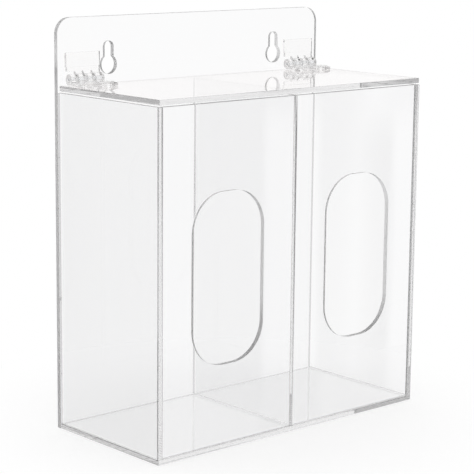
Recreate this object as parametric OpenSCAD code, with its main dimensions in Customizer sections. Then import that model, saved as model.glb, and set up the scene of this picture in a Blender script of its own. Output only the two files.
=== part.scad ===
// Wall-mounted two-compartment glove dispenser in clear acrylic sheet.
// Seven flat sheets are solvent-bonded edge to face into an open box with a tall back sheet.
// The lid hangs on two moulded butt hinges whose knuckles interleave on a pin.
// Front faces -Y, +X is right, +Z is up, and the origin is under the middle of the base.

/* [Box] */
// Width of the box over the side sheets
box_width = 205; // [170:1:320]
// Depth from the front face to the back face
box_depth = 94; // [70:1:160]
// Height of the top edge of the walls above the base
wall_height = 199; // [150:1:320]
// Thickness of the sheet that the box is cut from
sheet = 3; // [2:0.5:6]

/* [Back sheet] */
// How far the back sheet rises above the closed lid
back_rise = 38.5; // [36:0.5:80]
// Radius of its two top corners
back_corner_radius = 9.5; // [3:0.5:20]

/* [Keyholes] */
// Width of the round hole that the screw head goes in through
key_entry_diameter = 11.2; // [10:0.1:16]
// Width of the slot that the screw shank hangs in
key_slot_width = 6.5; // [4:0.5:9]
// Height of the slot's end above the middle of the round hole
key_slot_travel = 10.5; // [8:0.5:16]
// Height of the slot's end, at the middle of its round, below the top edge
key_top_margin = 17.7; // [10:0.1:18]
// Sheet left between a keyhole and the hinge beside it
key_hinge_gap = 2.5; // [1:0.5:8]

/* [Dispensing ports] */
// Width of each port
port_width = 52.5; // [30:0.5:70]
// Height of each port over its round ends
port_height = 99; // [75:1:140]
// Width of the short flat in the middle of each end, between its two round corners
port_end_flat = 8.5; // [2:0.5:16]

/* [Lid] */
// Thickness of the lid sheet
lid_sheet = 3; // [2:0.5:6]
// Air gap between the walls and the closed lid
lid_gap = 1; // [0.8:0.1:3]
// How far each side of the lid stands inside the box
lid_side_margin = 0.5; // [0:0.1:3]
// Gap between the rear edge of the lid and the back sheet
lid_rear_gap = 1; // [0.8:0.1:3]

/* [Hinges] */
// Length of a hinge along its pin
hinge_width = 24; // [20:1:32]
// Distance from the side of the box to the outer end of a hinge
hinge_inset = 5; // [1:0.5:10]
// Outside diameter of the knuckles
barrel_diameter = 6.2; // [5:0.1:7]
// Reach of a leaf from the pin to its free edge
leaf_reach = 15.2; // [12:0.1:22]
// Thickness of a leaf in the middle of its bonding pad
leaf_thickness = 2.6; // [2.2:0.1:3]
// Thickness of the pad along its free edge and its two sides
leaf_edge_thickness = 1.6; // [1:0.1:2]
// Width of the bevel between the two
leaf_bevel = 2; // [1:0.1:3]
// How far the bonding pad lifts the knuckles off the sheet
pad_standoff = 0.3; // [0.3:0.05:1]
// Distance from the knuckles to the neck of the other leaf
neck_clearance = 1.4; // [0.6:0.1:3]
// Length of the neck between the knuckles and the bonding pad
neck_length = 2.5; // [1:0.1:4]
// How far the neck stands inside the pad at each end
neck_side_inset = 0.4; // [0:0.1:1.5]
// How far the neck's face lies below the face of the pad
neck_step = 0.9; // [0.2:0.1:1.2]
// Gap between neighbouring knuckles
knuckle_gap = 0.3; // [0.3:0.05:0.8]
// Radius of the concave blend between a knuckle and its leaf
knuckle_fillet = 2; // [0.5:0.1:3]
// Chamfer round the end of each knuckle
knuckle_chamfer = 0.25; // [0.1:0.05:0.5]
// Number of knuckles on a hinge, shared by its two leaves in turn
knuckle_count = 4; // [4:2:8]

/* [Hinge pins] */
// Diameter of the pin
pin_diameter = 2; // [1.5:0.1:2.5]
// Radial clearance of the pin in the knuckles of the lid leaf
pin_clearance = 0.05; // [0.02:0.01:0.1]
// How far each end of the pin stands inside the barrel
pin_recess = 0.3; // [0.1:0.1:1]
// Chamfer on the ends of the pin
pin_chamfer = 0.2; // [0.1:0.05:0.4]

/* [Hidden] */
$fn = 96;
cut = 1;                                  // how far a cutter passes each face

front_face = -box_depth / 2;
back_face = box_depth / 2;
back_front = back_face - sheet;           // the face that everything is bonded to
side_face = box_width / 2;
wall_rise = wall_height - sheet;          // the walls stand on the bottom sheet
lid_bottom = wall_height + lid_gap;
lid_top = lid_bottom + lid_sheet;
back_height = lid_top + back_rise;

barrel_radius = barrel_diameter / 2;
pin_offset = barrel_radius + pad_standoff; // pin to either bonded face
pin_y = back_front - pin_offset;
pin_z = lid_top + pin_offset;
neck_start = barrel_radius + neck_clearance;
pad_start = neck_start + neck_length;
leaf_face = leaf_thickness - pin_offset;   // free face of a pad, from the pin
neck_face = leaf_face - neck_step;
knuckle_pitch = hinge_width / knuckle_count;
left_hinge_x = -side_face + hinge_inset;
right_hinge_x = side_face - hinge_inset - hinge_width;

key_x = side_face - hinge_inset - hinge_width - key_hinge_gap - key_entry_diameter / 2;
key_slot_z = back_height - key_top_margin;
key_entry_z = key_slot_z - key_slot_travel;

port_x = box_width / 4;                    // the middle of each half of the front
port_z = wall_height / 2;

acrylic = [0.88, 0.94, 0.96, 0.4];
moulded = [0.80, 0.88, 0.92, 0.6];
pin_plastic = [0.70, 0.76, 0.80, 0.8];

// ---- outlines -------------------------------------------------------------------

// Port: upright, centred on the origin, with round corners that leave short flat ends
module port_outline() {
    corner_radius = (port_width - port_end_flat) / 2;
    corner_z = port_height / 2 - corner_radius;
    square([port_width, 2 * corner_z], center = true);
    square([port_end_flat, port_height], center = true);
    for (side = [-1, 1], end = [-1, 1])
        translate([side * port_end_flat / 2, end * corner_z]) circle(r = corner_radius);
}

// Keyhole: round entry at the origin with the hanging slot above it
module keyhole() {
    circle(d = key_entry_diameter);
    translate([-key_slot_width / 2, 0]) square([key_slot_width, key_slot_travel]);
    translate([0, key_slot_travel]) circle(d = key_slot_width);
}

// Back sheet with its two top corners rounded
module back_outline() {
    shoulder = back_height - back_corner_radius;
    translate([-side_face, 0]) square([box_width, shoulder]);
    translate([-side_face + back_corner_radius, 0])
        square([box_width - 2 * back_corner_radius, back_height]);
    for (side = [-1, 1])
        translate([side * (side_face - back_corner_radius), shoulder])
            circle(r = back_corner_radius);
}

// ---- bonded box -----------------------------------------------------------------

// An outline drawn in the XZ plane, raised into a sheet whose back face is at y
module upright_sheet(y, thickness) {
    translate([0, y, 0]) rotate([90, 0, 0]) linear_extrude(thickness) children();
}

module bottom_panel() {
    color(acrylic)
        translate([-side_face, front_face, 0])
            cube([box_width, back_front - front_face, sheet]);
}

module back_panel() {
    color(acrylic)
        upright_sheet(back_face, sheet) difference() {
            back_outline();
            for (side = [-1, 1]) translate([side * key_x, key_entry_z]) keyhole();
        }
}

// side is -1 for the left wall and 1 for the right one
module side_panel(side) {
    color(acrylic)
        translate([side * (side_face - sheet / 2) - sheet / 2, front_face, sheet])
            cube([sheet, back_front - front_face, wall_rise]);
}

module front_panel() {
    color(acrylic)
        upright_sheet(front_face + sheet, sheet) difference() {
            translate([-side_face + sheet, sheet])
                square([box_width - 2 * sheet, wall_rise]);
            for (side = [-1, 1])
                translate([side * port_x, port_z]) port_outline();
        }
}

module divider() {
    color(acrylic)
        translate([-sheet / 2, front_face + sheet, sheet])
            cube([sheet, back_front - front_face - sheet, wall_rise]);
}

// ---- lid ------------------------------------------------------------------------

module lid() {
    color(acrylic)
        translate([-side_face + lid_side_margin, front_face, lid_bottom])
            cube([box_width - 2 * lid_side_margin,
                  back_front - lid_rear_gap - front_face, lid_sheet]);
}

// ---- hinges ---------------------------------------------------------------------
// A leaf is drawn with its pin along X from the origin, its reach along +Y and
// its bonded face down. Both leaves of a hinge come from the same module.

// Turns an outline drawn in the YZ plane into a bar along X
module along_x(length) {
    rotate([90, 0, 90]) linear_extrude(length) children();
}

// Side view of one knuckle's arm: the strap under the barrel and its concave blend
module arm_outline() {
    blend_z = neck_face + knuckle_fillet;
    blend_y = sqrt(pow(barrel_radius + knuckle_fillet, 2) - pow(blend_z, 2));
    translate([0, -barrel_radius])
        square([pad_start, neck_face + barrel_radius]);
    difference() {
        polygon([[0, 0], [blend_y, blend_z], [blend_y, neck_face], [0, neck_face]]);
        translate([blend_y, blend_z]) circle(r = knuckle_fillet);
    }
}

// Barrel of one knuckle with a chamfer round each end
module knuckle_barrel(length) {
    rotate([0, 90, 0]) rotate_extrude()
        polygon([[0, 0],
                 [barrel_radius - knuckle_chamfer, 0],
                 [barrel_radius, knuckle_chamfer],
                 [barrel_radius, length - knuckle_chamfer],
                 [barrel_radius - knuckle_chamfer, length],
                 [0, length]]);
}

// Side view of what a bevel cuts off, with the pad's edge at the origin
module bevel_outline() {
    slope = (leaf_thickness - leaf_edge_thickness) / leaf_bevel;
    polygon([[-leaf_bevel, leaf_face],
             [cut, leaf_face - (leaf_bevel + cut) * slope],
             [cut, leaf_face + cut],
             [-leaf_bevel, leaf_face + cut]]);
}

// Bonding pad, bevelled along its free edge and its two sides
module bonding_pad() {
    pad_length = leaf_reach - pad_start;
    difference() {
        translate([0, pad_start, -pin_offset])
            cube([hinge_width, pad_length, leaf_thickness]);
        translate([-cut, leaf_reach, 0]) along_x(hinge_width + 2 * cut) bevel_outline();
        translate([hinge_width, 0, 0])
            upright_sheet(leaf_reach + cut, pad_length + 2 * cut) bevel_outline();
        mirror([1, 0, 0])
            upright_sheet(leaf_reach + cut, pad_length + 2 * cut) bevel_outline();
    }
}

// first is the position of the leaf's first knuckle, and the rest are every other one
module leaf(first, bore_diameter) {
    knuckle_length = knuckle_pitch - knuckle_gap;
    difference() {
        union() {
            bonding_pad();
            translate([neck_side_inset, neck_start, -barrel_radius])
                cube([hinge_width - 2 * neck_side_inset, neck_length,
                      neck_face + barrel_radius]);
            for (position = [first : 2 : knuckle_count - 1])
                translate([position * knuckle_pitch + knuckle_gap / 2, 0, 0]) {
                    knuckle_barrel(knuckle_length);
                    along_x(knuckle_length) arm_outline();
                }
        }
        translate([-cut, 0, 0]) rotate([0, 90, 0])
            cylinder(d = bore_diameter, h = hinge_width + 2 * cut);
    }
}

// Bonded to the front of the back sheet, reaching up; it grips the pin
module wall_leaf(hinge_x) {
    color(moulded)
        translate([hinge_x, pin_y, pin_z]) rotate([90, 0, 0])
            leaf(1, pin_diameter);
}

// Bonded to the top of the lid, reaching forward; it turns on the pin
module lid_leaf(hinge_x) {
    color(moulded)
        translate([hinge_x, pin_y, pin_z]) mirror([0, 1, 0])
            leaf(0, pin_diameter + 2 * pin_clearance);
}

module hinge_pin(hinge_x) {
    pin_radius = pin_diameter / 2;
    pin_length = hinge_width - 2 * pin_recess;
    color(pin_plastic)
        translate([hinge_x + pin_recess, pin_y, pin_z]) rotate([0, 90, 0]) rotate_extrude()
            polygon([[0, 0],
                     [pin_radius - pin_chamfer, 0],
                     [pin_radius, pin_chamfer],
                     [pin_radius, pin_length - pin_chamfer],
                     [pin_radius - pin_chamfer, pin_length],
                     [0, pin_length]]);
}

bottom_panel();
back_panel();
side_panel(-1);  // left_side_panel
side_panel(1);  // right_side_panel
front_panel();
divider();
lid();
wall_leaf(left_hinge_x);  // left_hinge_wall_leaf
lid_leaf(left_hinge_x);  // left_hinge_lid_leaf
hinge_pin(left_hinge_x);  // left_hinge_pin
wall_leaf(right_hinge_x);  // right_hinge_wall_leaf
lid_leaf(right_hinge_x);  // right_hinge_lid_leaf
hinge_pin(right_hinge_x);  // right_hinge_pin
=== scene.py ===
import math

import bmesh
import bpy
from mathutils import Matrix, Vector


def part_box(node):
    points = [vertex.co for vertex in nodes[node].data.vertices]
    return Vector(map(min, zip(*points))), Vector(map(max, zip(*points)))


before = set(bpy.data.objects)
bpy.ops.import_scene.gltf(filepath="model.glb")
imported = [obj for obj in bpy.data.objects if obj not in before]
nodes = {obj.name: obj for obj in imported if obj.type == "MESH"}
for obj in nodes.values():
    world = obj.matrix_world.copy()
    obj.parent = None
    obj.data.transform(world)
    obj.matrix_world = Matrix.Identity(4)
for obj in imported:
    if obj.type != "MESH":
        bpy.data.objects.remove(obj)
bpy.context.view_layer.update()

scene = bpy.context.scene

# ---- Bottom sheet -------------------------------------------------------------------
# The floor of the box is a rectangle of 3 mm clear cast acrylic, sawn to size and
# polished along its edges. The walls stand on it, bonded to it with solvent.

MM = 0.001
sheet_edge_radius = 0.3 * MM        # what polishing takes off each arris
bond_film = 0.02 * MM               # half of the solvent film between two bonded sheets
rounding_steps = 2
sharp_edge = math.radians(40)
weld_reach = 0.001 * MM             # corners nearer than this are one
same_area = 1e-9                    # square metres, so that broad faces stay flat

acrylic_ior = 1.49
acrylic_absorption = 20.0           # per metre, and the colour is what one unit passes
acrylic_body = (0.940, 0.939, 0.940, 1.0)
face_tint = (0.998, 0.998, 1.0, 1.0)
edge_tint = (0.975, 0.973, 0.974, 1.0)

face_roughness = 0.0
polished_cut = 0.001                # roughness of a flame-polished saw cut
edge_line_roughness = 0.004
edge_line_spacing = 0.45 * MM
edge_line_depth = 0.00005 * MM
wave_length = 34.0 * MM             # slow waves left by casting between glass plates
wave_depth = 0.0030 * MM
wipe_angles = (0.35, -0.9)          # which ways a cloth has gone over a face
bubble_size = 0.8 * MM
seam_reach = 0.2 * MM               # how far past a seam's plane its gaps begin
seam_roughness = 0.16


def add_node(tree, kind, inputs=None, **settings):
    """Put a node in a tree, with its settings, and link or fill its named inputs."""
    node = tree.nodes.new(kind)
    for setting, value in settings.items():
        setattr(node, setting, value)
    for socket, value in (inputs or {}).items():
        if isinstance(value, bpy.types.NodeSocket):
            tree.links.new(value, node.inputs[socket])
        else:
            node.inputs[socket].default_value = value
    return node


def math_node(tree, operation, *values):
    """A Math node on sockets or numbers, and its output."""
    return add_node(tree, "ShaderNodeMath", dict(enumerate(values)),
                    operation=operation).outputs[0]


def step_node(tree, value, low, high, to_low=0.0, to_high=1.0):
    """A smooth step of value, from to_low at low to to_high at high."""
    return add_node(tree, "ShaderNodeMapRange",
                    {"Value": value, "From Min": low, "From Max": high,
                     "To Min": to_low, "To Max": to_high},
                    interpolation_type="SMOOTHSTEP").outputs[0]


def measured_in(tree, place, length):
    """A place, counted in lengths of one size."""
    return add_node(tree, "ShaderNodeVectorMath",
                    {0: place, "Scale": math_node(tree, "DIVIDE", 1.0, length)},
                    operation="SCALE").outputs[0]


def new_group(name, inputs, outputs):
    """A shader node group with its sockets, and its inside input and output nodes."""
    group = bpy.data.node_groups.new(name, "ShaderNodeTree")
    for socket, kind in inputs.items():
        group.interface.new_socket(socket, in_out="INPUT", socket_type=kind)
    for socket in outputs:
        group.interface.new_socket(socket, in_out="OUTPUT", socket_type="NodeSocketFloat")
    return (group, group.nodes.new("NodeGroupInput").outputs,
            group.nodes.new("NodeGroupOutput").inputs)


# Where a sheet was cut, and the fine lines that the blade and the flame leave there.
cut_edge, given, gives = new_group(
    "cut_edge",
    {"Position": "NodeSocketVector", "Normal": "NodeSocketVector",
     "Through": "NodeSocketVector", "Line Spacing": "NodeSocketFloat"},
    ["Edge", "Lines"])
facing = add_node(cut_edge, "ShaderNodeVectorMath",
                  {0: given["Normal"], 1: given["Through"]},
                  operation="DOT_PRODUCT").outputs["Value"]
cut_edge.links.new(step_node(cut_edge, math_node(cut_edge, "ABSOLUTE", facing),
                             0.80, 0.35), gives["Edge"])
depth_part = add_node(cut_edge, "ShaderNodeVectorMath",
                      {0: given["Position"], 1: given["Through"]},
                      operation="PROJECT").outputs[0]
along_cut = add_node(cut_edge, "ShaderNodeVectorMath",
                     {0: given["Position"], 1: depth_part},
                     operation="SUBTRACT").outputs[0]
line_place = measured_in(cut_edge, along_cut, given["Line Spacing"])
fine_lines = add_node(cut_edge, "ShaderNodeTexNoise",
                      {"Vector": line_place, "Scale": 1.0, "Detail": 2.0}).outputs[0]
broad_lines = add_node(cut_edge, "ShaderNodeTexNoise",
                       {"Vector": line_place, "Scale": 0.09, "Detail": 1.0}).outputs[0]
cut_edge.links.new(math_node(cut_edge, "ADD",
                             math_node(cut_edge, "MULTIPLY", fine_lines, 0.45),
                             math_node(cut_edge, "MULTIPLY", broad_lines, 0.55)),
                   gives["Lines"])

# The slow waves of a cast face, and the hairlines that wiping it leaves.
cast_face, given, gives = new_group(
    "cast_face",
    {"Position": "NodeSocketVector", "Through": "NodeSocketVector",
     "Wave Length": "NodeSocketFloat", "Mark Stretch": "NodeSocketVector"},
    ["Waves", "Marks"])
wave_place = measured_in(cast_face, given["Position"], given["Wave Length"])
cast_face.links.new(add_node(cast_face, "ShaderNodeTexNoise",
                             {"Vector": wave_place, "Scale": 1.0, "Detail": 1.0}).outputs[0],
                    gives["Waves"])
hairlines = []
for sweep in wipe_angles:
    swept = add_node(cast_face, "ShaderNodeVectorRotate",
                     {"Vector": given["Position"], "Axis": given["Through"], "Angle": sweep},
                     rotation_type="AXIS_ANGLE").outputs[0]
    stretched = add_node(cast_face, "ShaderNodeVectorMath",
                         {0: swept, 1: given["Mark Stretch"]},
                         operation="MULTIPLY").outputs[0]
    strand = add_node(cast_face, "ShaderNodeTexNoise",
                      {"Vector": stretched, "Scale": 1.0, "Detail": 2.0,
                       "Distortion": 0.15}).outputs[0]
    hairlines.append(step_node(cast_face, strand, 0.68, 0.76))
cast_face.links.new(math_node(cast_face, "MAXIMUM", *hairlines), gives["Marks"])

# Solvent runs in by itself and leaves small gaps and bubbles in the seam.
solvent_seam, given, gives = new_group(
    "solvent_seam",
    {"Position": "NodeSocketVector", "Bubble Size": "NodeSocketFloat"}, ["Gaps"])
bubble_place = measured_in(solvent_seam, given["Position"], given["Bubble Size"])
bubbles = add_node(solvent_seam, "ShaderNodeTexVoronoi",
                   {"Vector": bubble_place, "Scale": 1.0}).outputs["Distance"]
patches = add_node(solvent_seam, "ShaderNodeTexNoise",
                   {"Vector": bubble_place, "Scale": 0.12, "Detail": 2.0}).outputs[0]
solvent_seam.links.new(math_node(solvent_seam, "MULTIPLY",
                                 step_node(solvent_seam, bubbles, 0.42, 0.30),
                                 step_node(solvent_seam, patches, 0.46, 0.60)),
                       gives["Gaps"])


def clear_sheet(name, faces, through, cut_roughness, mark_stretch, mark_roughness, seams):
    """Clear acrylic for sheets that lie across the unit vector through, tinted by faces.

    seams lists the bonded edges: the axis each one faces along, the plane that it lies
    beyond, and the Math operation that says on which side of the plane it is."""
    material = bpy.data.materials.new(name)
    material.use_nodes = True
    tree = material.node_tree
    shader = tree.nodes["Principled BSDF"]
    place = tree.nodes.new("ShaderNodeTexCoord").outputs
    cut = add_node(tree, "ShaderNodeGroup", node_tree=cut_edge)
    cast = add_node(tree, "ShaderNodeGroup", node_tree=cast_face)
    seam = add_node(tree, "ShaderNodeGroup", node_tree=solvent_seam)
    for group in (cut, cast, seam):
        tree.links.new(place["Object"], group.inputs["Position"])
    tree.links.new(place["Normal"], cut.inputs["Normal"])
    cut.inputs["Through"].default_value = through
    cut.inputs["Line Spacing"].default_value = edge_line_spacing
    cast.inputs["Through"].default_value = through
    cast.inputs["Wave Length"].default_value = wave_length
    cast.inputs["Mark Stretch"].default_value = mark_stretch
    seam.inputs["Bubble Size"].default_value = bubble_size
    edge = cut.outputs["Edge"]

    # The seam's gaps show only on the cut edges that are bonded.
    axes = add_node(tree, "ShaderNodeSeparateXYZ", {0: place["Object"]}).outputs
    bonded = 0.0
    for axis, plane, side in seams:
        bonded = math_node(tree, "MAXIMUM", bonded,
                           math_node(tree, side, axes[axis], plane))
    gaps = math_node(tree, "MULTIPLY", math_node(tree, "MULTIPLY", bonded, edge),
                     seam.outputs["Gaps"])

    tint = add_node(tree, "ShaderNodeMix",
                    {0: edge, 6: faces, 7: edge_tint}, data_type="RGBA").outputs[2]
    tree.links.new(tint, shader.inputs["Base Color"])
    lines = math_node(tree, "MULTIPLY", edge, cut.outputs["Lines"])
    rough = math_node(tree, "ADD",
                      math_node(tree, "MULTIPLY_ADD", edge, cut_roughness, face_roughness),
                      math_node(tree, "MULTIPLY", lines, edge_line_roughness))
    rough = math_node(tree, "MULTIPLY_ADD", gaps, seam_roughness, rough)
    rough = math_node(tree, "MULTIPLY_ADD", cast.outputs["Marks"], mark_roughness, rough)
    tree.links.new(rough, shader.inputs["Roughness"])
    cut_bump = add_node(tree, "ShaderNodeBump",
                        {"Height": lines, "Strength": 1.0, "Distance": edge_line_depth})
    relief = add_node(tree, "ShaderNodeBump",
                      {"Height": cast.outputs["Waves"], "Strength": 1.0,
                       "Distance": wave_depth, "Normal": cut_bump.outputs[0]})
    tree.links.new(relief.outputs[0], shader.inputs["Normal"])
    shader.inputs["IOR"].default_value = acrylic_ior
    shader.inputs["Transmission Weight"].default_value = 1.0
    body = add_node(tree, "ShaderNodeVolumeAbsorption",
                    {"Color": acrylic_body, "Density": acrylic_absorption})
    tree.links.new(body.outputs[0], tree.nodes["Material Output"].inputs["Volume"])
    return material


def finish_edges(piece, radius):
    """Round a piece's arrises, and stand it back by the film that bonds it."""
    weld = piece.modifiers.new("one_skin", "WELD")
    weld.merge_threshold = weld_reach
    arris = piece.modifiers.new("arris", "BEVEL")
    arris.width = radius
    arris.segments = rounding_steps
    arris.limit_method = "ANGLE"
    arris.angle_limit = sharp_edge
    film = piece.modifiers.new("film", "DISPLACE")
    film.strength = -bond_film
    film.mid_level = 0.0
    level = piece.modifiers.new("level", "WEIGHTED_NORMAL")
    level.weight = 100
    level.thresh = same_area


def finish_sheet(piece, material):
    """Give a sheet its material and its polished arrises."""
    piece.data.materials[0] = material
    finish_edges(piece, sheet_edge_radius)


across_x, across_y, across_z = (1.0, 0.0, 0.0), (0.0, 1.0, 0.0), (0.0, 0.0, 1.0)
X, Y, Z = range(3)
back_sheet_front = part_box("back_panel")[0][1]
bottom_finish = clear_sheet("bottom_sheet_finish", face_tint, across_z, polished_cut,
                            (30.0, 2400.0, 0.0), 0.05,
                            [(Y, back_sheet_front - seam_reach, "GREATER_THAN")])
finish_sheet(nodes["bottom_panel"], bottom_finish)

# ---- Back sheet ---------------------------------------------------------------------
# The back is the same 3 mm acrylic, laser-cut with two round corners and two keyholes
# for wall screws. It stands behind the other sheets, and they are bonded to its face.

# A real cut is nearly clear. This haze keeps the light that runs in the sheet, and that
# the holes scatter, from speckling it.
laser_cut = 0.40
back_finish = clear_sheet("back_sheet_finish", face_tint, across_y, laser_cut,
                          (26.0, 0.0, 2100.0), 0.035, [])
finish_sheet(nodes["back_panel"], back_finish)

# ---- Side walls and divider ---------------------------------------------------------
# Three plain rectangles of the same sheet stand front to back on the bottom sheet.
# Their rear and bottom edges, and the divider's front edge, are bonded with solvent.

bottom_sheet_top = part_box("bottom_panel")[1][2]
wall_seams = [(Y, back_sheet_front - seam_reach, "GREATER_THAN"),
              (Z, bottom_sheet_top + seam_reach, "LESS_THAN")]
wall_finish = clear_sheet("wall_finish", face_tint, across_x, polished_cut,
                          (0.0, 28.0, 2300.0), 0.035,
                          wall_seams)
for wall in ("left_side_panel", "right_side_panel", "divider"):
    finish_sheet(nodes[wall], wall_finish)

# ---- Front sheet --------------------------------------------------------------------
# The front is laser-cut from the same sheet, with a tall round-ended port for each
# compartment. It stands on the bottom sheet between the side walls, bonded to all three.

left_wall_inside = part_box("left_side_panel")[1][0]
front_finish = clear_sheet("front_sheet_finish", face_tint, across_y, laser_cut,
                           (34.0, 0.0, 2600.0), 0.04,
                           [(X, left_wall_inside + seam_reach, "LESS_THAN"),
                            (X, -left_wall_inside - seam_reach, "GREATER_THAN"),
                            (Z, bottom_sheet_top + seam_reach, "LESS_THAN")])
finish_sheet(nodes["front_panel"], front_finish)

# ---- Lid ----------------------------------------------------------------------------
# The lid is a loose rectangle of the same sheet with four polished edges.
# Only its two hinges hold it, and its face carries the marks of being handled.

lid_face_tint = (0.990, 0.968, 0.965, 1.0)     # this sheet is a shade warmer than the walls'
lid_finish = clear_sheet("lid_finish", lid_face_tint, across_z, polished_cut,
                         (22.0, 1900.0, 0.0), 0.03, [])
finish_sheet(nodes["lid"], lid_finish)

# ---- Hinge leaves -------------------------------------------------------------------
# Each hinge has two clear injection-moulded leaves whose knuckles interleave.
# One leaf is bonded flat to the lid, and the other to the front of the back sheet.

hinge_edge_radius = 0.12 * MM
hinge_ior = 1.34                    # below the plastic's own 1.49, so the knuckles stay pale
hinge_absorption = 3.0
hinge_body = (0.880, 0.880, 0.882, 1.0)
hinge_tint = (0.999, 0.996, 0.994, 1.0)
hinge_flow_tint = (0.994, 0.989, 0.986, 1.0)
hinge_roughness = 0.02
hinge_flow_roughness = 0.03
flow_spacing = 1.3 * MM
flow_depth = 0.0008 * MM
hinge_middle = (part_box("right_hinge_wall_leaf")[0][0]
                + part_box("right_hinge_wall_leaf")[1][0]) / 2

# Molten plastic spreads from the gate in arcs that stay as faint rings in the leaf.
mould_flow, given, gives = new_group(
    "mould_flow",
    {"Position": "NodeSocketVector", "Gate": "NodeSocketVector",
     "Ring Spacing": "NodeSocketFloat"}, ["Rings", "Haze"])
reach = add_node(mould_flow, "ShaderNodeVectorMath",
                 {0: given["Position"], 1: given["Gate"]}, operation="DISTANCE").outputs["Value"]
wander = add_node(mould_flow, "ShaderNodeTexNoise",
                  {"Vector": given["Position"], "Scale": 260.0, "Detail": 2.0}).outputs[0]
ring_phase = math_node(mould_flow, "ADD",
                       math_node(mould_flow, "DIVIDE",
                                 math_node(mould_flow, "MULTIPLY", reach, 2 * math.pi),
                                 given["Ring Spacing"]),
                       math_node(mould_flow, "MULTIPLY", wander, 9.0))
mould_flow.links.new(math_node(mould_flow, "MULTIPLY_ADD",
                               math_node(mould_flow, "SINE", ring_phase), 0.5, 0.5),
                     gives["Rings"])
mould_flow.links.new(step_node(mould_flow, wander, 0.38, 0.68), gives["Haze"])


def moulded_leaf(name, gate):
    """Clear moulded plastic whose flow rings start at the gate, given on the right."""
    material = bpy.data.materials.new(name)
    material.use_nodes = True
    tree = material.node_tree
    shader = tree.nodes["Principled BSDF"]
    place = tree.nodes.new("ShaderNodeTexCoord").outputs["Object"]
    # Both hinges take the same rings, so the left one reads its place mirrored.
    mirrored = add_node(tree, "ShaderNodeVectorMath", {0: place},
                        operation="ABSOLUTE").outputs[0]
    axes = add_node(tree, "ShaderNodeSeparateXYZ", {0: place}).outputs
    mirrored_x = add_node(tree, "ShaderNodeSeparateXYZ", {0: mirrored}).outputs[0]
    local = add_node(tree, "ShaderNodeCombineXYZ",
                     {0: mirrored_x, 1: axes[1], 2: axes[2]}).outputs[0]
    flow = add_node(tree, "ShaderNodeGroup", node_tree=mould_flow)
    tree.links.new(local, flow.inputs["Position"])
    flow.inputs["Gate"].default_value = gate
    flow.inputs["Ring Spacing"].default_value = flow_spacing
    tint = add_node(tree, "ShaderNodeMix",
                    {0: flow.outputs["Haze"], 6: hinge_tint, 7: hinge_flow_tint},
                    data_type="RGBA").outputs[2]
    tree.links.new(tint, shader.inputs["Base Color"])
    tree.links.new(math_node(tree, "MULTIPLY_ADD", flow.outputs["Haze"],
                             hinge_flow_roughness, hinge_roughness),
                   shader.inputs["Roughness"])
    bump = add_node(tree, "ShaderNodeBump",
                    {"Height": flow.outputs["Rings"], "Strength": 1.0,
                     "Distance": flow_depth})
    tree.links.new(bump.outputs[0], shader.inputs["Normal"])
    shader.inputs["IOR"].default_value = hinge_ior
    shader.inputs["Transmission Weight"].default_value = 1.0
    body = add_node(tree, "ShaderNodeVolumeAbsorption",
                    {"Color": hinge_body, "Density": hinge_absorption})
    tree.links.new(body.outputs[0], tree.nodes["Material Output"].inputs["Volume"])
    return material


wall_leaf_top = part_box("right_hinge_wall_leaf")[1][2]
lid_leaf_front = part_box("right_hinge_lid_leaf")[0][1]
lid_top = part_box("lid")[1][2]
wall_leaf_finish = moulded_leaf("wall_leaf_finish",
                                (hinge_middle, back_sheet_front, wall_leaf_top))
lid_leaf_finish = moulded_leaf("lid_leaf_finish", (hinge_middle, lid_leaf_front, lid_top))
for side in ("left", "right"):
    for leaf, finish in (("wall_leaf", wall_leaf_finish), ("lid_leaf", lid_leaf_finish)):
        piece = nodes[f"{side}_hinge_{leaf}"]
        piece.data.materials[0] = finish
        finish_edges(piece, hinge_edge_radius)

# ---- Hinge pins ---------------------------------------------------------------------
# A pin of drawn clear rod runs through the four knuckles of each hinge.
# It is pressed into the wall leaf, and the lid leaf turns on it.

pin_tint = (0.95, 0.96, 0.97, 1.0)
pin_line_tint = (0.88, 0.90, 0.92, 1.0)
pin_roughness = 0.08
pin_line_roughness = 0.10
pin_line_depth = 0.003 * MM

pin_finish = bpy.data.materials.new("pin_finish")
pin_finish.use_nodes = True
tree = pin_finish.node_tree
shader = tree.nodes["Principled BSDF"]
drawn = add_node(tree, "ShaderNodeVectorMath",
                 {0: tree.nodes.new("ShaderNodeTexCoord").outputs["Object"],
                  1: (60.0, 3200.0, 3200.0)}, operation="MULTIPLY").outputs[0]
draw_lines = add_node(tree, "ShaderNodeTexNoise",
                      {"Vector": drawn, "Scale": 1.0, "Detail": 2.0}).outputs[0]
tree.links.new(add_node(tree, "ShaderNodeMix",
                        {0: draw_lines, 6: pin_tint, 7: pin_line_tint},
                        data_type="RGBA").outputs[2], shader.inputs["Base Color"])
tree.links.new(math_node(tree, "MULTIPLY_ADD", draw_lines, pin_line_roughness,
                         pin_roughness), shader.inputs["Roughness"])
tree.links.new(add_node(tree, "ShaderNodeBump",
                        {"Height": draw_lines, "Strength": 1.0,
                         "Distance": pin_line_depth}).outputs[0], shader.inputs["Normal"])
shader.inputs["IOR"].default_value = hinge_ior
shader.inputs["Transmission Weight"].default_value = 1.0
for side in ("left", "right"):
    pin = nodes[f"{side}_hinge_pin"]
    pin.data.materials[0] = pin_finish
    finish_edges(pin, hinge_edge_radius / 2)

# ---- Floor --------------------------------------------------------------------------
# The dispenser stands on a round white table. It is plain, and it fades into the white
# around it, so that only the soft shadow under the box shows.

table_radius = 0.50
table_drop = 0.5 * MM
table_sides = 96
table_white = (0.97, 0.97, 0.97, 1.0)
shadow_near = 0.08                  # the shadow is full inside this radius
shadow_far = 0.19                   # and gone outside this one
glow_near = 0.78                    # how far the white hides the shadow under the box

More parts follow.
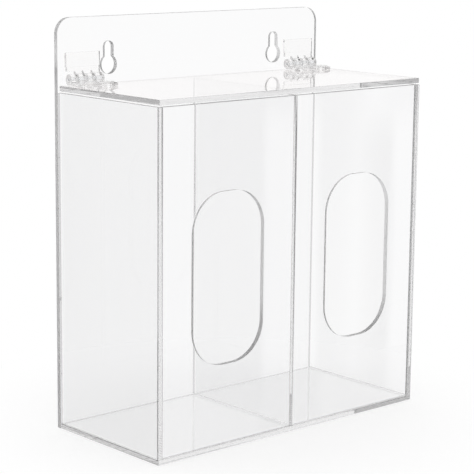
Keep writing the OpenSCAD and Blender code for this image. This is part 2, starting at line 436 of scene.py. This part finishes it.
floor_mesh = bpy.data.meshes.new("table")
outline = bmesh.new()
bmesh.ops.create_circle(outline, cap_ends=True, radius=table_radius, segments=table_sides,
                        matrix=Matrix.Translation((0, 0, -table_drop)))
outline.to_mesh(floor_mesh)
outline.free()
floor = bpy.data.objects.new("table", floor_mesh)
scene.collection.objects.link(floor)

floor_material = bpy.data.materials.new("table_white")
floor_material.use_nodes = True
tree = floor_material.node_tree
paint = tree.nodes["Principled BSDF"]
paint.inputs["Base Color"].default_value = table_white
paint.inputs["Roughness"].default_value = 0.9
from_middle = add_node(tree, "ShaderNodeVectorMath",
                       {0: tree.nodes.new("ShaderNodeTexCoord").outputs["Object"]},
                       operation="LENGTH").outputs["Value"]
rays = tree.nodes.new("ShaderNodeLightPath").outputs
seen = math_node(tree, "MAXIMUM", rays["Is Camera Ray"],
                 math_node(tree, "MAXIMUM", rays["Is Glossy Ray"],
                           rays["Is Transmission Ray"]))
glow = math_node(tree, "MULTIPLY", seen,
                 step_node(tree, from_middle, shadow_near, shadow_far, glow_near, 1.0))
white = add_node(tree, "ShaderNodeEmission", {"Color": (1.0, 1.0, 1.0, 1.0),
                                              "Strength": 1.0})
blend = add_node(tree, "ShaderNodeMixShader",
                 {0: glow, 1: paint.outputs[0], 2: white.outputs[0]})


def once_reflected(tree, rays):
    """1 for light that a smooth face has turned back, and that no matt face has."""
    return math_node(tree, "MULTIPLY",
                     math_node(tree, "GREATER_THAN", rays["Glossy Depth"], 0.5),
                     math_node(tree, "LESS_THAN", rays["Diffuse Depth"], 0.5))


# The light inside a sheet looks through the table, at the tent and its flags.
open_table = add_node(tree, "ShaderNodeMixShader",
                      {0: once_reflected(tree, rays), 1: blend.outputs[0],
                       2: tree.nodes.new("ShaderNodeBsdfTransparent").outputs[0]})
tree.links.new(open_table.outputs[0], tree.nodes["Material Output"].inputs["Surface"])
floor_mesh.materials.append(floor_material)

# ---- Light --------------------------------------------------------------------------
# A white tent lights the dispenser evenly from all round. Dark flags outside it show
# only by reflection, so that the clear edges stand out as grey lines. Their places are
# fitted to each edge as the camera sees it, and the last four serve other views.

# Each flag: its bearing from +Y towards +X, the half widths where it is full and where
# it ends, in degrees, how dark it is, and the heights of a ray where it ends and is full.
flags = [(-34.0, 11.0, 13.0, 0.74, 0.34, 0.22), (-60.0, 12.4, 14.2, 0.50, 0.34, 0.22),
         (-60.0, 13.0, 15.0, 1.00, -0.10, -0.14), (138.0, 12.0, 30.0, 0.32, 0.34, 0.22),
         (43.7, 0.8, 1.2, 0.92, -0.10, -0.13),
         (0.0, 9.0, 20.0, 0.40, 0.34, 0.22), (90.0, 12.0, 26.0, 0.40, 0.34, 0.22),
         (180.0, 12.0, 28.0, 0.40, 0.34, 0.22), (-90.0, 12.0, 26.0, 0.40, 0.34, 0.22)]
# Each gap that is left open low down between flags: its bearing and half widths.
gaps = [(-43.7, 0.7, 1.1), (-47.7, 0.4, 0.8)]
gap_top, gap_full = -0.10, -0.13
overhead = Vector((-0.40, 0.73, 0.55)).normalized()     # towards the overhead flag
overhead_full, overhead_end, overhead_dark = 20.0, 34.0, 0.52
roof_dark, below_dark = 0.25, 0.28  # how dark the tent is straight above, and far below

world = bpy.data.worlds.new("white_tent")
world.use_nodes = True
scene.world = world
tree = world.node_tree
tree.nodes.clear()
direction = tree.nodes.new("ShaderNodeTexCoord").outputs["Generated"]
height = add_node(tree, "ShaderNodeSeparateXYZ", {0: direction}).outputs[2]
bearing = add_node(tree, "ShaderNodeVectorMath",
                   {0: add_node(tree, "ShaderNodeVectorMath",
                                {0: direction, 1: (1.0, 1.0, 0.0)},
                                operation="MULTIPLY").outputs[0]},
                   operation="NORMALIZE").outputs[0]


def around(angle, full, end, most=1.0):
    """A flag or gap round a bearing, in degrees: most as far as full, and 0 past end."""
    angle = math.radians(angle)
    along = add_node(tree, "ShaderNodeVectorMath",
                     {0: bearing, 1: (math.sin(angle), math.cos(angle), 0.0)},
                     operation="DOT_PRODUCT").outputs["Value"]
    return step_node(tree, along, math.cos(math.radians(end)),
                     math.cos(math.radians(full)), 0.0, most)


dark = 0.0
for angle, full, end, darkness, top, full_height in flags:
    dark = math_node(tree, "MAXIMUM", dark,
                     math_node(tree, "MULTIPLY", around(angle, full, end, darkness),
                               step_node(tree, height, top, full_height)))
for angle, full, end in gaps:
    opened = math_node(tree, "MULTIPLY", around(angle, full, end),
                       step_node(tree, height, gap_top, gap_full))
    dark = math_node(tree, "MULTIPLY", dark, math_node(tree, "SUBTRACT", 1.0, opened))
towards_overhead = add_node(tree, "ShaderNodeVectorMath", {0: direction, 1: overhead},
                            operation="DOT_PRODUCT").outputs["Value"]
dark = math_node(tree, "MAXIMUM", dark,
                 step_node(tree, towards_overhead, math.cos(math.radians(overhead_end)),
                           math.cos(math.radians(overhead_full)), 0.0, overhead_dark))
roof = step_node(tree, height, 0.5, 1.0, 0.0, roof_dark)
below = step_node(tree, height, -0.20, -0.50, 0.0, below_dark)
level = math_node(tree, "SUBTRACT", 1.0,
                  math_node(tree, "MAXIMUM", dark, math_node(tree, "MAXIMUM", roof, below)))
flagged = add_node(tree, "ShaderNodeBackground", {"Color": level, "Strength": 1.0})
plain = add_node(tree, "ShaderNodeBackground", {"Color": (1.0, 1.0, 1.0, 1.0),
                                                "Strength": 1.0})
rays = tree.nodes.new("ShaderNodeLightPath").outputs
tent = add_node(tree, "ShaderNodeMixShader",
                {0: once_reflected(tree, rays), 1: plain.outputs[0],
                 2: flagged.outputs[0]})
add_node(tree, "ShaderNodeOutputWorld", {"Surface": tent.outputs[0]})

# Light runs the whole width of a sheet between its faces, about 40 turns.
scene.cycles.max_bounces = 80
scene.cycles.glossy_bounces = 72
scene.cycles.transmission_bounces = 48
scene.cycles.transparent_max_bounces = 16
scene.view_settings.view_transform = "Standard"

# ---- Camera -------------------------------------------------------------------------
# It stands about a metre off, in front of the left corner and a little above the lid.

camera_place = Vector((-0.6788, -0.7534, 0.3050))
camera_bearing = math.radians(-41.87)
camera_elevation = math.radians(10.91)
camera_roll = math.radians(0.59)
focal_pixels = 1720.8
frame_pixels = 474
sensor_width = 36.0

forward = Vector((-math.sin(camera_bearing) * math.cos(camera_elevation),
                  math.cos(camera_bearing) * math.cos(camera_elevation),
                  -math.sin(camera_elevation)))
level_right = forward.cross(Vector((0, 0, 1))).normalized()
level_up = level_right.cross(forward)
right = math.cos(camera_roll) * level_right + math.sin(camera_roll) * level_up
up = -math.sin(camera_roll) * level_right + math.cos(camera_roll) * level_up
camera_data = bpy.data.cameras.new("camera")
camera_data.sensor_width = sensor_width
camera_data.lens = focal_pixels / frame_pixels * sensor_width
camera_data.clip_start = 0.01
camera = bpy.data.objects.new("camera", camera_data)
scene.collection.objects.link(camera)
camera.matrix_world = Matrix((
    (right.x, up.x, -forward.x, camera_place.x),
    (right.y, up.y, -forward.y, camera_place.y),
    (right.z, up.z, -forward.z, camera_place.z),
    (0, 0, 0, 1)))
scene.camera = camera
